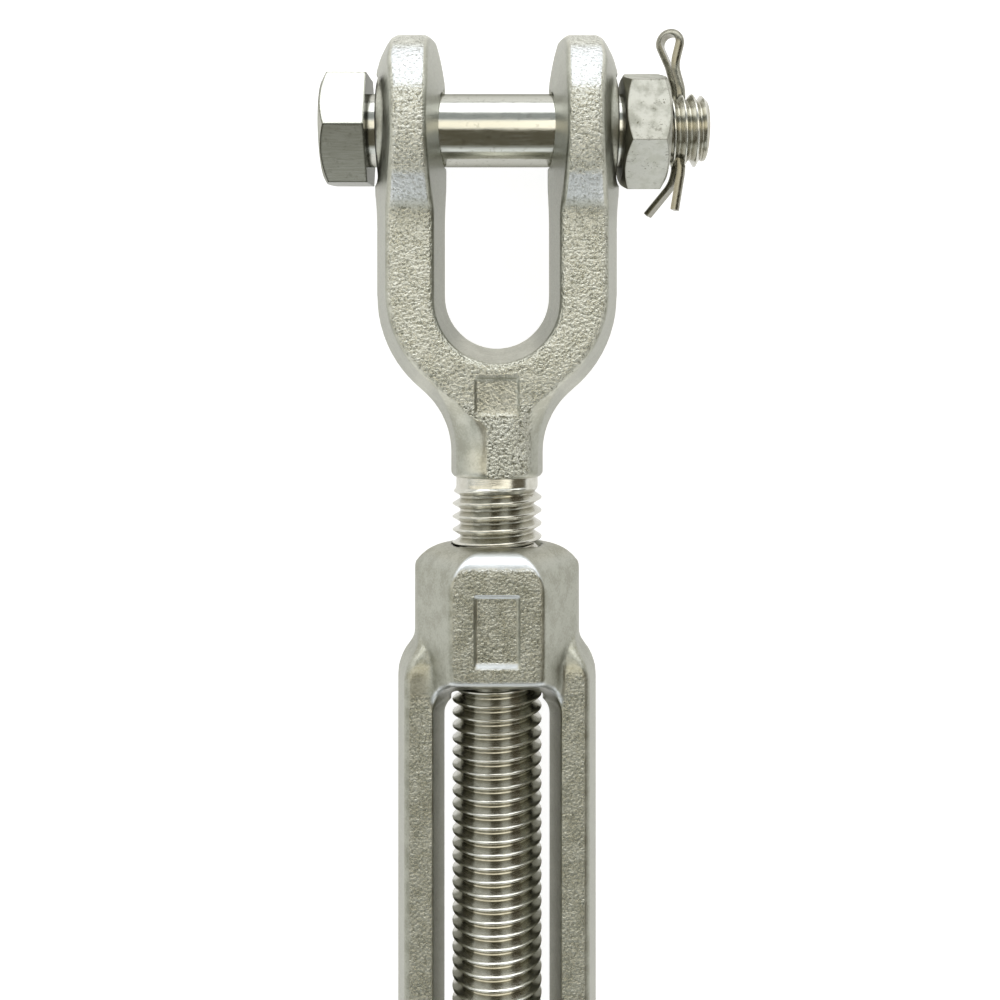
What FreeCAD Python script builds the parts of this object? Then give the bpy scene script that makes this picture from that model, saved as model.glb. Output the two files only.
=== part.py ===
import FreeCAD, Part
import math
import os

# A jaw and jaw turnbuckle in stainless steel, in millimetres, lying on its side.
# Y is the line of pull, X runs along the two jaw bolts and Z is up. The part rests on the round
# rims of its four jaw ears, so Z = 0 is under the ears and the origin is under the body's centre.
# A jaw, its bolt, nut and cotter pin are drawn with the bolt's centre at the origin, the ears
# towards +Y and the shank towards -Y, and then moved to their end of the body. The forgings part
# on the plane through the pull line and the bolts, and their sides draft away from that plane.

# Threads are drawn plain, at the size over their crests, with these radial clearances
SHANK_DIAMETER = 15.875
SHANK_CLEARANCE = 0.08
BOLT_DIAMETER = 12.7
EAR_HOLE_CLEARANCE = 0.3
NUT_CLEARANCE = 0.05

# Ears of a jaw. Widths are half widths at the parting plane, measured from the pull line
EAR_RADIUS = 17.4
EAR_CENTRE_BELOW_BOLT = 1.2
EAR_OUTER = 21.75
EAR_INNER = 8.95
EAR_SIDE_BELOW = 8.0
CROWN_START = 7.3
CROWN_RADIUS = 15.7
FLARE_START = 3.3
FLARE_RADIUS = 42.0
SPOT_FACE_OUT = 20.85
SPOT_FACE_RADIUS = 9.6
BOSS_RADIUS = 9.2
BOSS_SIDE_ANGLE = 35.0

# Arms, bridge and neck of a jaw
ARM_OUTER = 21.3
ARM_INNER = 9.2
ARM_START = 17.6
ARM_HALF_DEPTH = 10.0
ARM_BLEND_RADIUS = 3.0
BEND_CENTRE = 29.4
BEND_EXTRA_DRAFT = 9.0
BRIDGE_TAPER_START = 3.4
TAPER_BLEND_RADIUS = 30.0
NECK_RADIUS = 8.17
NECK_HALF_DEPTH = 7.7
NECK_BLEND_RADIUS = 14.3
NECK_LENGTH = 4.3
NECK_END_CHAMFER = 0.7
NECK_ROUNDING_LAND = 0.05
JAW_OUTER_DRAFT = 14.5
JAW_INNER_DRAFT = 9.0
JAW_EDGE_CHAMFER = 0.7

# Shank of a jaw
SHANK_LENGTH = 102.4
SHANK_TIP_CHAMFER = 1.3
RELIEF_DIAMETER = 14.6
RELIEF_LENGTH = 2.0

# Bare marking recesses, one on each jaw and one on the body
JAW_RECESS = (7.6, 7.1)
JAW_RECESS_BELOW_BEND = 5.3
BODY_RECESS = (7.6, 12.3)
BODY_RECESS_BELOW_END = 7.3
RECESS_DEPTH = 0.6
RECESS_SIDE = 0.25
RECESS_SILL = 1.1

# Body
WINDOW_HALF_LENGTH = 76.2
WINDOW_HALF_WIDTH = 9.3
WINDOW_CORNER_RADIUS = 3.6
WINDOW_SIDE_DRAFT = 13.0
WINDOW_END_DRAFT = 20.0
BOSS_LENGTH = 27.2
BOSS_FLATS = 27.0
BOSS_SIDE_CORNER_RADIUS = 6.6
BOSS_FACE_CORNER_RADIUS = 1.5
BOSS_FACE_END_RADIUS = 4.1
BOSS_SIDE_END_RADIUS = 7.0
BORE_COUNTERSINK = 0.4
RAIL_WIDTH = 8.3
RAIL_HALF_DEPTH = 7.5
RAIL_DRAFT = 14.0
RAIL_EDGE_CHAMFER = 0.7
RAIL_FACE_PAST_WINDOW = 5.0
RAIL_END_RADIUS = 7.5
SHOULDER_PAST_WINDOW = 3.6
SHOULDER_RADIUS = 9.0
SHOULDER_BLEND_RADIUS = 4.0
SHANK_SHOWING = 11.5

# Jaw bolt and nut
HEX_FLATS = 18.7
HEX_CHAMFER_FLATS_SHARE = 0.95
HEX_CHAMFER_ANGLE = 30.0
HEAD_THICKNESS = 7.94
HEAD_TURN = 6.6
HEAD_GAP = 1.65
NUT_THICKNESS = 7.94
NUT_TURN = 20.5
NUT_GAP = 1.0
BOLT_PAST_COTTER = 4.7
BOLT_TIP_CHAMFER = 1.2

# Cotter pin, of one half-round wire folded into an eye and two legs
COTTER_RADIUS = 1.2
COTTER_PAST_NUT = 2.4
COTTER_HOLE_CLEARANCE = 0.15
COTTER_LEG_GAP = 0.1
COTTER_STRAIGHT_PAST_BOLT = 1.0
COTTER_THROAT_LEAN = 1.2
COTTER_THROAT_HEIGHT = 5.4
COTTER_EYE_LEAN = 1.5
COTTER_EYE_HEIGHT = 9.4
COTTER_EYE_RADIUS = 1.35
COTTER_BEND_RADIUS = 6.0
COTTER_TURN = -25.0
# Each leg's corners, as (distance to the side, distance past the bolt)
COTTER_SHORT_LEG = ((0.0, 0.8), (1.15, 7.6))
COTTER_LONG_LEG = ((0.0, 0.6), (0.65, 3.4), (5.35, 8.6))

X_AXIS = FreeCAD.Vector(1, 0, 0)
Y_AXIS = FreeCAD.Vector(0, 1, 0)
Z_AXIS = FreeCAD.Vector(0, 0, 1)
CENTRE = FreeCAD.Vector(0, 0, 0)
PAST = 1.0  # how far a cutting or trimming shape runs past what it cuts
TINY = 1e-3  # less than this counts as nothing

BODY_HALF_LENGTH = WINDOW_HALF_LENGTH + BOSS_LENGTH
BOSS_CORNER = BOSS_FLATS / math.sqrt(3)
BOSS_SIDE = BOSS_CORNER - BOSS_SIDE_CORNER_RADIUS * (2 / math.sqrt(3) - 1)
NECK_BLEND_X = NECK_RADIUS + NECK_BLEND_RADIUS
NECK_BLEND_DROP = math.sqrt((ARM_OUTER + NECK_BLEND_RADIUS) ** 2 - NECK_BLEND_X ** 2)
NECK_START = BEND_CENTRE + NECK_BLEND_DROP
NECK_END = NECK_START + NECK_LENGTH
JAW_PIN_Y = BODY_HALF_LENGTH + SHANK_SHOWING + NECK_END
BEARING_X = SPOT_FACE_OUT + HEAD_GAP
NUT_X = SPOT_FACE_OUT + NUT_GAP
COTTER_X = NUT_X + NUT_THICKNESS + COTTER_PAST_NUT


def slope(angle):
    return math.tan(math.radians(angle))


def around(centre, radius, angle):
    return (centre[0] + radius * math.cos(angle), centre[1] + radius * math.sin(angle))


def on_level(z):
    """Places drawn points on the level plane at height z."""
    return lambda x, y: FreeCAD.Vector(x, y, z)


def on_side(x):
    """Places drawn points, as (y, z), on the upright plane across the bolts at x."""
    return lambda y, z: FreeCAD.Vector(x, y, z)


def edge(points, place):
    """A line of two points or an arc of three."""
    placed = [place(*point) for point in points]
    if len(placed) == 2:
        return Part.makeLine(*placed)
    return Part.Arc(*placed).toShape()


def wire(segments, place):
    return Part.Wire([edge(points, place) for points in segments])


def mirrored(segments):
    """The same run of segments on the other side of the Y axis, end to start."""
    return [[(-x, y) for x, y in reversed(points)] for points in reversed(segments)]


def straight(*points):
    """The line segments that join the points in turn."""
    return [[start, end] for start, end in zip(points, points[1:])]


def bent(points, radii):
    """Straight runs through the points, with an arc of the given radius at each corner between."""
    segments = []
    start = points[0]
    for before, corner, after, radius in zip(points, points[1:], points[2:], radii):
        back = math.atan2(before[1] - corner[1], before[0] - corner[0])
        onward = math.atan2(after[1] - corner[1], after[0] - corner[0])
        half = math.remainder(onward - back, 2 * math.pi) / 2
        reach = radius / math.tan(abs(half))
        centre = around(corner, radius / math.sin(abs(half)), back + half)
        arc_start = around(corner, reach, back)
        arc_end = around(corner, reach, onward)
        segments += [[start, arc_start], [arc_start, around(centre, radius, back + half + math.pi), arc_end]]
        start = arc_end
    return segments + [[start, points[-1]]]


def turned(profile, axis):
    """A solid of revolution from a closed run of segments drawn on the level plane."""
    return Part.Face(wire(profile, on_level(0))).revolve(CENTRE, axis, 360)


def both_halves(upper):
    lower = upper.mirror(CENTRE, Z_AXIS)
    return upper.fuse(lower).removeSplitter()


def is_front(face):
    """True for a face of an upper half that looks up all over, with no lean towards either side."""
    low_u, high_u, low_v, high_v = face.ParameterRange
    near_ends = (0.3, 0.6)
    normals = [face.normalAt(low_u + a * (high_u - low_u), low_v + b * (high_v - low_v))
               for a in near_ends for b in near_ends]
    return all(abs(normal.x) < TINY < normal.z for normal in normals)


def front_rims(solid):
    """The edges between the front faces of an upper half and its drafted sides."""
    rims = []
    for rim in solid.Edges:
        fronts = [is_front(face) for face in solid.ancestorsOfType(rim, Part.Face)]
        if fronts.count(True) == 1 and rim.BoundBox.YLength > TINY:
            rims.append(rim)
    return rims


def side_step(start, end, shift):
    """Two equal arcs that carry a side along Y from start to end, moved by shift along X."""
    rise = end[0] - start[0]
    run = end[1] - start[1]
    side = math.copysign(1, rise)
    heading = math.copysign(1, run)
    radius = (rise ** 2 + run ** 2) / (4 * abs(rise))
    turn = math.asin(abs(run) / 2 / radius)
    arcs = []
    for point, way, angles in ((start, 1, (0, turn / 2, turn)), (end, -1, (turn, turn / 2, 0))):
        centre = point[0] + way * side * radius
        reach = radius - way * side * shift
        arcs.append([(centre - way * side * reach * math.cos(angle),
                      point[1] + way * heading * reach * math.sin(angle)) for angle in angles])
    return arcs


def recess(size):
    """A cutter for a shallow recess, its mouth on Z = 0 and its steepest sill towards -Y."""
    width, height = size
    mouth = straight((0, 0), (width, 0), (width, height), (0, height), (0, 0))
    low, high = RECESS_SIDE, width - RECESS_SIDE
    floor = straight((low, RECESS_SILL), (high, RECESS_SILL), (high, height - RECESS_SIDE),
                     (low, height - RECESS_SIDE), (low, RECESS_SILL))
    cutter = Part.makeLoft([wire(mouth, on_level(0)), wire(floor, on_level(-RECESS_DEPTH))], True, True)
    mouth_face = Part.Face(wire(mouth, on_level(0)))
    cutter = cutter.fuse(mouth_face.extrude(Z_AXIS * PAST))
    cutter.translate(FreeCAD.Vector(-width / 2, -height, 0))
    return cutter


# Jaw

def jaw_outline(depth):
    """The outline of a jaw's forging at a height above the parting plane."""
    out = depth * slope(JAW_OUTER_DRAFT)
    inn = depth * slope(JAW_INNER_DRAFT)
    neck = NECK_RADIUS - out
    arm = ARM_OUTER - out
    gap = ARM_INNER + inn
    bend = (0, -BEND_CENTRE)
    neck_blend = (NECK_BLEND_X, -NECK_START)
    turn = math.atan2(-NECK_BLEND_DROP, NECK_BLEND_X)
    meet = around(bend, arm, turn)
    crown = (EAR_OUTER - CROWN_RADIUS, CROWN_START)
    flare = (EAR_INNER + FLARE_RADIUS, FLARE_START)
    ear_top = EAR_RADIUS - EAR_CENTRE_BELOW_BOLT + PAST
    crown_turn = math.asin((ear_top - CROWN_START) / CROWN_RADIUS)
    flare_turn = math.asin((ear_top - FLARE_START) / FLARE_RADIUS)
    crown_end, crown_mid, crown_start = (around(crown, CROWN_RADIUS - out, angle)
                                         for angle in (crown_turn, crown_turn / 2, 0))
    flare_end, flare_mid, flare_start = (around(flare, FLARE_RADIUS - inn, math.pi - angle)
                                         for angle in (flare_turn, flare_turn / 2, 0))
    outer_step = side_step((ARM_OUTER, -ARM_START), (EAR_OUTER, -EAR_SIDE_BELOW), -out)
    inner_step = side_step((EAR_INNER, -EAR_SIDE_BELOW), (ARM_INNER, -ARM_START), inn)
    gap_end = -BEND_CENTRE - depth * slope(BEND_EXTRA_DRAFT)
    right = [
        [(neck, -NECK_END), (neck, -NECK_START)],
        [(neck, -NECK_START), around(neck_blend, NECK_BLEND_RADIUS + out, math.pi + turn / 2), meet],
        [meet, around(bend, arm, turn / 2), (arm, -BEND_CENTRE)],
        [(arm, -BEND_CENTRE), (arm, -ARM_START)],
        *outer_step,
        [outer_step[-1][-1], crown_start],
        [crown_start, crown_mid, crown_end],
        [crown_end, flare_end],
        [flare_end, flare_mid, flare_start],
        [flare_start, inner_step[0][0]],
        *inner_step,
        [(gap, -ARM_START), (gap, gap_end)],
    ]
    bottom = [(gap, gap_end), (0, gap_end - gap), (-gap, gap_end)]
    foot = [(-neck, -NECK_END), (neck, -NECK_END)]
    return right + [bottom] + mirrored(right) + [foot]


def jaw_side():
    """The upper half of a jaw seen along its bolt, as (y, z): round ear, flat arm and tapered neck."""
    ear = (-EAR_CENTRE_BELOW_BOLT, 0)
    blend_z = ARM_HALF_DEPTH + ARM_BLEND_RADIUS
    blend_y = ear[0] - math.sqrt((EAR_RADIUS + ARM_BLEND_RADIUS) ** 2 - blend_z ** 2)
    lean = math.atan2(blend_z, blend_y - ear[0])
    meet = around(ear, EAR_RADIUS, lean)
    blend_mid = around((blend_y, blend_z), ARM_BLEND_RADIUS, (lean + math.pi * 5 / 2) / 2)
    taper_start = -(BEND_CENTRE + ARM_INNER + BRIDGE_TAPER_START)
    taper = [(blend_y, ARM_HALF_DEPTH), (taper_start, ARM_HALF_DEPTH), (-NECK_START, NECK_HALF_DEPTH),
             (-NECK_END, NECK_HALF_DEPTH)]
    return [
        [(ear[0] + EAR_RADIUS, 0), around(ear, EAR_RADIUS, lean / 2), meet],
        [meet, blend_mid, taper[0]],
        *bent(taper, (TAPER_BLEND_RADIUS, TAPER_BLEND_RADIUS)),
        *straight(taper[-1], (-NECK_END, 0), (ear[0] + EAR_RADIUS, 0)),
    ]


def jaw_forging():
    """Both halves of a jaw's forging, with the edges between its front and its sides broken."""
    height = EAR_RADIUS + PAST
    drafted = Part.makeLoft([wire(jaw_outline(0), on_level(0)),
                             wire(jaw_outline(height), on_level(height))], True, True)
    reach = EAR_OUTER + PAST
    side = Part.Face(wire(jaw_side(), on_side(-reach))).extrude(X_AXIS * 2 * reach)
    upper = drafted.common(side)
    upper = upper.makeChamfer(JAW_EDGE_CHAMFER, front_rims(upper))
    return both_halves(upper)


def ear_bosses():
    """Round bosses on the outer faces of both ears, to be spot-faced."""
    depth = EAR_OUTER - SPOT_FACE_OUT
    root = (EAR_OUTER + EAR_INNER) / 2
    root_radius = BOSS_RADIUS + (SPOT_FACE_OUT - root) * slope(BOSS_SIDE_ANGLE)
    face_radius = BOSS_RADIUS - depth * slope(BOSS_SIDE_ANGLE)
    boss = Part.makeCone(root_radius, face_radius, EAR_OUTER - root, FreeCAD.Vector(root, 0, 0), X_AXIS)
    return [boss, boss.mirror(CENTRE, X_AXIS)]


def spot_faces():
    cutter = Part.makeCylinder(SPOT_FACE_RADIUS, EAR_OUTER, FreeCAD.Vector(SPOT_FACE_OUT, 0, 0), X_AXIS)
    return [cutter, cutter.mirror(CENTRE, X_AXIS)]


def jaw_shank():
    """The turned shank, with a relief groove under the foot of the neck."""
    radius = SHANK_DIAMETER / 2
    relief = RELIEF_DIAMETER / 2
    groove = -NECK_END - RELIEF_LENGTH
    tip = -NECK_END - SHANK_LENGTH
    return turned(straight((0, -NECK_END), (relief, -NECK_END), (relief, groove),
                           (radius, groove - (radius - relief)), (radius, tip + SHANK_TIP_CHAMFER),
                           (radius - SHANK_TIP_CHAMFER, tip), (0, tip), (0, -NECK_END)), Y_AXIS)


def neck_blank():
    """The space that a jaw's forging fills: round at the neck, with its foot's corner turned off."""
    radius = NECK_RADIUS + NECK_ROUNDING_LAND
    blend = (NECK_BLEND_X, -NECK_START)
    blend_radius = NECK_BLEND_RADIUS - NECK_ROUNDING_LAND
    blend_end = (NECK_BLEND_X, -NECK_START + blend_radius)
    wide = NECK_BLEND_X + EAR_OUTER
    top = EAR_RADIUS + PAST
    return turned([
        *straight((0, top), (0, -NECK_END), (radius - NECK_END_CHAMFER, -NECK_END),
                  (radius, NECK_END_CHAMFER - NECK_END), (radius, -NECK_START)),
        [(radius, -NECK_START), around(blend, blend_radius, math.pi * 3 / 4), blend_end],
        *straight(blend_end, (wide, blend_end[1]), (wide, top), (0, top)),
    ], Y_AXIS)


def jaw_recess():
    """The marking recess, tilted to lie on the tapered face between the bend and the neck."""
    start = BEND_CENTRE + ARM_INNER + BRIDGE_TAPER_START
    fall = (ARM_HALF_DEPTH - NECK_HALF_DEPTH) / (NECK_START - start)
    cutter = recess(JAW_RECESS)
    cutter.rotate(CENTRE, X_AXIS, math.degrees(math.atan(fall)))
    top = BEND_CENTRE + ARM_INNER + JAW_RECESS_BELOW_BEND
    cutter.translate(FreeCAD.Vector(0, -top, ARM_HALF_DEPTH - (top - start) * fall))
    return cutter


def jaw():
    shape = jaw_forging().common(neck_blank()).fuse(ear_bosses())
    shape = shape.cut(spot_faces() + [jaw_recess()])
    hole = BOLT_DIAMETER / 2 + EAR_HOLE_CLEARANCE
    reach = EAR_OUTER + PAST
    shape = shape.cut(Part.makeCylinder(hole, 2 * reach, FreeCAD.Vector(-reach, 0, 0), X_AXIS))
    return shape.fuse(jaw_shank()).removeSplitter()


# Body

def boss_section():
    """The six-sided section of a boss, as (x, z): softer corners at the sides than on the faces."""
    segments = []
    corners = []
    for step in range(6):
        radius = BOSS_FACE_CORNER_RADIUS if step % 3 else BOSS_SIDE_CORNER_RADIUS
        angle = math.radians(60 * step)
        centre = around((0, 0), BOSS_CORNER - radius * 2 / math.sqrt(3), angle)
        corners.append([around(centre, radius, angle + math.radians(side)) for side in (-30, 0, 30)])
    for corner, following in zip(corners, corners[1:] + corners[:1]):
        segments.append(corner)
        segments.append([corner[-1], following[0]])
    return segments


def boss():
    """The upper boss: a six-sided bar with its end rounded, more at the sides than on the faces."""
    foot = WINDOW_HALF_LENGTH - WINDOW_CORNER_RADIUS
    section = Part.Face(wire(boss_section(), lambda x, z: FreeCAD.Vector(x, foot, z)))
    bar = section.extrude(Y_AXIS * (BODY_HALF_LENGTH - foot))
    for angle, radius in ((0, BOSS_FACE_END_RADIUS), (60, BOSS_SIDE_END_RADIUS), (-60, BOSS_SIDE_END_RADIUS)):
        bar = bar.common(rounded_slab(foot, radius).rotated(CENTRE, Y_AXIS, angle))
    return bar


def rounded_slab(foot, radius):
    """A slab as thick as the boss, lying level, with both edges of its upper end rounded."""
    half = BOSS_FLATS / 2
    end = BODY_HALF_LENGTH
    outline = bent([(foot, -half), (end, -half), (end, half), (foot, half)], (radius, radius))
    outline += straight((foot, half), (foot, -half))
    return Part.Face(wire(outline, on_side(-BOSS_FLATS))).extrude(X_AXIS * 2 * BOSS_FLATS)


def rail_outline(depth):
    """The outline of the two rails as one plate, at a height above the parting plane.

    At each end a shoulder of two arcs steps in from the rail's side to the boss's side.
    """
    out = depth * slope(RAIL_DRAFT)
    rail = WINDOW_HALF_WIDTH + RAIL_WIDTH
    turn = math.acos(1 - (rail - BOSS_SIDE) / (SHOULDER_RADIUS + SHOULDER_BLEND_RADIUS))
    low = WINDOW_HALF_LENGTH + SHOULDER_PAST_WINDOW
    high = low + (SHOULDER_RADIUS + SHOULDER_BLEND_RADIUS) * math.sin(turn)
    shoulder = (rail - SHOULDER_RADIUS, low)
    blend = (BOSS_SIDE + SHOULDER_BLEND_RADIUS, high)
    convex = [around(shoulder, SHOULDER_RADIUS - out, angle) for angle in (0, turn / 2, turn)]
    concave = [around(blend, SHOULDER_BLEND_RADIUS + out, math.pi + angle) for angle in (turn, turn / 2, 0)]
    right = [[(rail - out, 0), convex[0]], convex, concave]
    top = [concave[-1], (-concave[-1][0], concave[-1][1])]
    upper = right + [top] + mirrored(right)
    lower = [[(-x, -y) for x, y in points] for points in upper]
    return upper + lower


def rail_side():
    """The upper half of the rails seen from the side, as (y, z), rounded off at both ends."""
    face = WINDOW_HALF_LENGTH + RAIL_FACE_PAST_WINDOW
    centre = (face, RAIL_HALF_DEPTH - RAIL_END_RADIUS)
    upper = [around(centre, RAIL_END_RADIUS, angle) for angle in (math.pi / 2, math.pi / 4, 0)]
    lower = [(-y, z) for y, z in reversed(upper)]
    return [lower, [lower[-1], upper[0]], upper, [upper[-1], lower[0]]]


def rails():
    """The upper half of both rails, as one plate from boss to boss, with its edges broken."""
    height = RAIL_HALF_DEPTH + PAST
    plate = Part.makeLoft([wire(rail_outline(0), on_level(0)), wire(rail_outline(height), on_level(height))],
                          True, True)
    reach = WINDOW_HALF_WIDTH + RAIL_WIDTH + PAST
    side = Part.Face(wire(rail_side(), on_side(-reach))).extrude(X_AXIS * 2 * reach)
    plate = plate.common(side)
    return plate.makeChamfer(RAIL_EDGE_CHAMFER, front_rims(plate))


def window():
    """A cutter for the window between the rails, wider and longer towards both faces."""
    height = BOSS_FLATS / 2 + PAST
    width, length = WINDOW_HALF_WIDTH, WINDOW_HALF_LENGTH
    wide = width + height * slope(WINDOW_SIDE_DRAFT)
    long = length + height * slope(WINDOW_END_DRAFT)
    across = straight((-width, 0), (width, 0), (wide, height), (-wide, height), (-width, 0))
    along = straight((-length, 0), (length, 0), (long, height), (-long, height), (-length, 0))
    upper = Part.Face(wire(across, lambda x, z: FreeCAD.Vector(x, -long, z))).extrude(Y_AXIS * 2 * long)
    upper = upper.common(Part.Face(wire(along, on_side(-wide))).extrude(X_AXIS * 2 * wide))
    corners = [rim for rim in upper.Edges if rim.BoundBox.ZLength > height / 2]
    return both_halves(upper.makeFillet(WINDOW_CORNER_RADIUS, corners))


def bore():
    """A cutter for the bore through both bosses, countersunk at each end."""
    radius = SHANK_DIAMETER / 2 + SHANK_CLEARANCE
    end = BODY_HALF_LENGTH
    mouth = radius + BORE_COUNTERSINK
    half = turned(straight((0, 0), (radius, 0), (radius, end - BORE_COUNTERSINK), (mouth, end),
                           (mouth, end + PAST), (0, end + PAST), (0, 0)), Y_AXIS)
    return half.fuse(half.mirror(CENTRE, Y_AXIS))


def body_recess():
    cutter = recess(BODY_RECESS)
    cutter.translate(FreeCAD.Vector(0, BODY_HALF_LENGTH - BODY_RECESS_BELOW_END, BOSS_FLATS / 2))
    return cutter


def body():
    upper_boss = boss()
    shape = upper_boss.fuse([upper_boss.mirror(CENTRE, Y_AXIS), both_halves(rails())])
    return shape.cut([window(), bore(), body_recess()]).removeSplitter()


# Bolt, nut and cotter pin

def hexagon(start, thickness, turn, chamfers):
    """A six-sided block along the bolt from x = start, with the ends that chamfers names turned off."""
    flat = HEX_FLATS / 2
    corner = HEX_FLATS / math.sqrt(3)
    points = [around((0, 0), corner, math.radians(90 + turn + 60 * step)) for step in range(7)]
    block = Part.Face(wire(straight(*points), on_side(start))).extrude(X_AXIS * thickness)
    ring = flat * HEX_CHAMFER_FLATS_SHARE
    wide = corner + PAST
    length = (wide - ring) * slope(HEX_CHAMFER_ANGLE)
    end = start + thickness
    first = [(start, ring), (start + length, wide)] if "start" in chamfers else [(start, wide)]
    last = [(end - length, wide), (end, ring)] if "end" in chamfers else [(end, wide)]
    return block.common(turned(straight((start, 0), *first, *last, (end, 0), (start, 0)), X_AXIS))


def bolt():
    radius = BOLT_DIAMETER / 2
    tip = COTTER_X + BOLT_PAST_COTTER
    start = -BEARING_X - HEAD_THICKNESS / 2
    shank = turned(straight((start, 0), (start, radius), (tip - BOLT_TIP_CHAMFER, radius),
                            (tip, radius - BOLT_TIP_CHAMFER), (tip, 0), (start, 0)), X_AXIS)
    head = hexagon(-BEARING_X - HEAD_THICKNESS, HEAD_THICKNESS, HEAD_TURN, ["start"])
    hole = Part.makeCylinder(COTTER_RADIUS + COTTER_HOLE_CLEARANCE, BOLT_DIAMETER + 2 * PAST,
                             FreeCAD.Vector(COTTER_X, -radius - PAST, 0), Y_AXIS)
    return head.fuse(shank).cut(hole).removeSplitter()


def nut():
    radius = BOLT_DIAMETER / 2 + NUT_CLEARANCE
    block = hexagon(NUT_X, NUT_THICKNESS, NUT_TURN, ["start", "end"])
    hole = Part.makeCylinder(radius, NUT_THICKNESS + 2 * PAST, FreeCAD.Vector(NUT_X - PAST, 0, 0), X_AXIS)
    return block.cut(hole)


def touching(centre, radius, point, side):
    """Where a line from the point touches the circle, on one side (1) or on the other (-1)."""
    towards = math.atan2(point[1] - centre[1], point[0] - centre[0])
    return around(centre, radius, towards + side * math.acos(radius / math.dist(centre, point)))


def cotter_path():
    """The line of the wire's flat side, from the end of one leg, round the eye, to the other's end."""
    side = COTTER_LEG_GAP / 2
    hole = BOLT_DIAMETER / 2
    eye = (-COTTER_EYE_LEAN, hole + COTTER_EYE_HEIGHT)
    throat = (-COTTER_THROAT_LEAN, hole + COTTER_THROAT_HEIGHT)
    right, left = ((throat[0] + side, throat[1]), (throat[0] - side, throat[1]))
    eye_start = touching(eye, COTTER_EYE_RADIUS, right, 1)
    eye_top = around(eye, COTTER_EYE_RADIUS, math.pi / 2)
    eye_end = touching(eye, COTTER_EYE_RADIUS, left, -1)
    short = [(side - out, -hole - below) for out, below in reversed(COTTER_SHORT_LEG)]
    long = [(-side - out, -hole - below) for out, below in COTTER_LONG_LEG]
    upwards = short + [(side, hole + COTTER_STRAIGHT_PAST_BOLT), right, eye_start]
    downwards = [eye_end, left, (-side, hole + COTTER_STRAIGHT_PAST_BOLT)] + long
    radii = [COTTER_BEND_RADIUS] * len(downwards)
    return bent(upwards, radii) + [[eye_start, eye_top, eye_end]] + bent(downwards, radii)


def cotter_section(start, along):
    """The wire's half-round section at a point of its path, with the flat side on the path."""
    up = Z_AXIS * COTTER_RADIUS
    out = along.cross(Z_AXIS) * COTTER_RADIUS
    round_side = Part.Arc(start + up, start + out, start - up).toShape()
    return Part.Face(Part.Wire([round_side, Part.makeLine(start - up, start + up)]))


def cotter_pin():
    runs = []
    for points in cotter_path():
        run = edge(points, on_level(0))
        start = run.valueAt(run.FirstParameter)
        end = run.valueAt(run.LastParameter)
        section = cotter_section(start, run.tangentAt(run.FirstParameter))
        if len(points) == 2:
            runs.append(section.extrude(end - start))
        else:
            angle = math.degrees(run.LastParameter - run.FirstParameter)
            runs.append(section.revolve(run.Curve.Center, run.Curve.Axis, angle))
    pin = runs[0].fuse(runs[1:]).removeSplitter()
    pin.rotate(CENTRE, Y_AXIS, COTTER_TURN)
    pin.translate(X_AXIS * COTTER_X)
    return pin


def placed(shape, lower):
    """Moves a jaw piece to the upper end of the body, or turns it round to the lower end."""
    moved = shape.copy()
    moved.translate(FreeCAD.Vector(0, JAW_PIN_Y, EAR_RADIUS))
    if lower:
        moved.rotate(CENTRE, Z_AXIS, 180)
    return moved


def write(name, shape):
    os.makedirs("parts", exist_ok=True)
    shape.exportStep("parts/" + name + ".step")


write("turnbuckle_body", body().translated(Z_AXIS * EAR_RADIUS))
pieces = {"jaw": jaw(), "bolt": bolt(), "nut": nut(), "cotter_pin": cotter_pin()}
for name, shape in pieces.items():
    write("upper_" + name, placed(shape, False))
    write("lower_" + name, placed(shape, True))
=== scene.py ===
import math

import bmesh
import bpy
from mathutils import Matrix, Vector


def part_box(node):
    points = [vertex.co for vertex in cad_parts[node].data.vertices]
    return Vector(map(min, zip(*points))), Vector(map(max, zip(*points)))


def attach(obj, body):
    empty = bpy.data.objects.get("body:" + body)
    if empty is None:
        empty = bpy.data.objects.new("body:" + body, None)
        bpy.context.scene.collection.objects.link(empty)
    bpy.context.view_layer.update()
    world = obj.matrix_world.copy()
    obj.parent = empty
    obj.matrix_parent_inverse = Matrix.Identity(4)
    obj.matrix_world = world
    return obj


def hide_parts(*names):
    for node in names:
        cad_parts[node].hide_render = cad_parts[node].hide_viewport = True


# The looks of a jaw and jaw turnbuckle, in metres. Y is the line of pull, X runs along the jaw
# bolts and the floor is at Z = 0. "Upper" is towards +Y and "lower" towards -Y.

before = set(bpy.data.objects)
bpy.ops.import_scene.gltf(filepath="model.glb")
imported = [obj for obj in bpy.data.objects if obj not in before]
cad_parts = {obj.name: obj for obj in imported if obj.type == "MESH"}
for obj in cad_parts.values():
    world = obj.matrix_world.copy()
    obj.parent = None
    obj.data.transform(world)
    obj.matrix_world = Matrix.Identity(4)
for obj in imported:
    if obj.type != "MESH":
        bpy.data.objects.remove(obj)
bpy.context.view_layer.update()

MM = 0.001
INCH = 0.0254

# Screws: 11 threads to the inch on the jaws, right-hand above and left-hand below, 13 on the bolts
SHANK_PITCH = INCH / 11
BOLT_PITCH = INCH / 13
THREAD_DEPTH_SHARE = 0.6134
THREAD_STEPS = 72
SHARP_DEGREES = 22
# One pitch of thread from crest to crest: (share of the pitch, share of the depth)
THREAD_PROFILE = [(0.0, 0.0), (0.045, 0.012), (0.085, 0.07), (0.135, 0.2), (0.36, 0.84), (0.42, 0.96),
                  (0.5, 1.0), (0.58, 0.96), (0.64, 0.84), (0.865, 0.2), (0.915, 0.07), (0.955, 0.012)]

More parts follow.
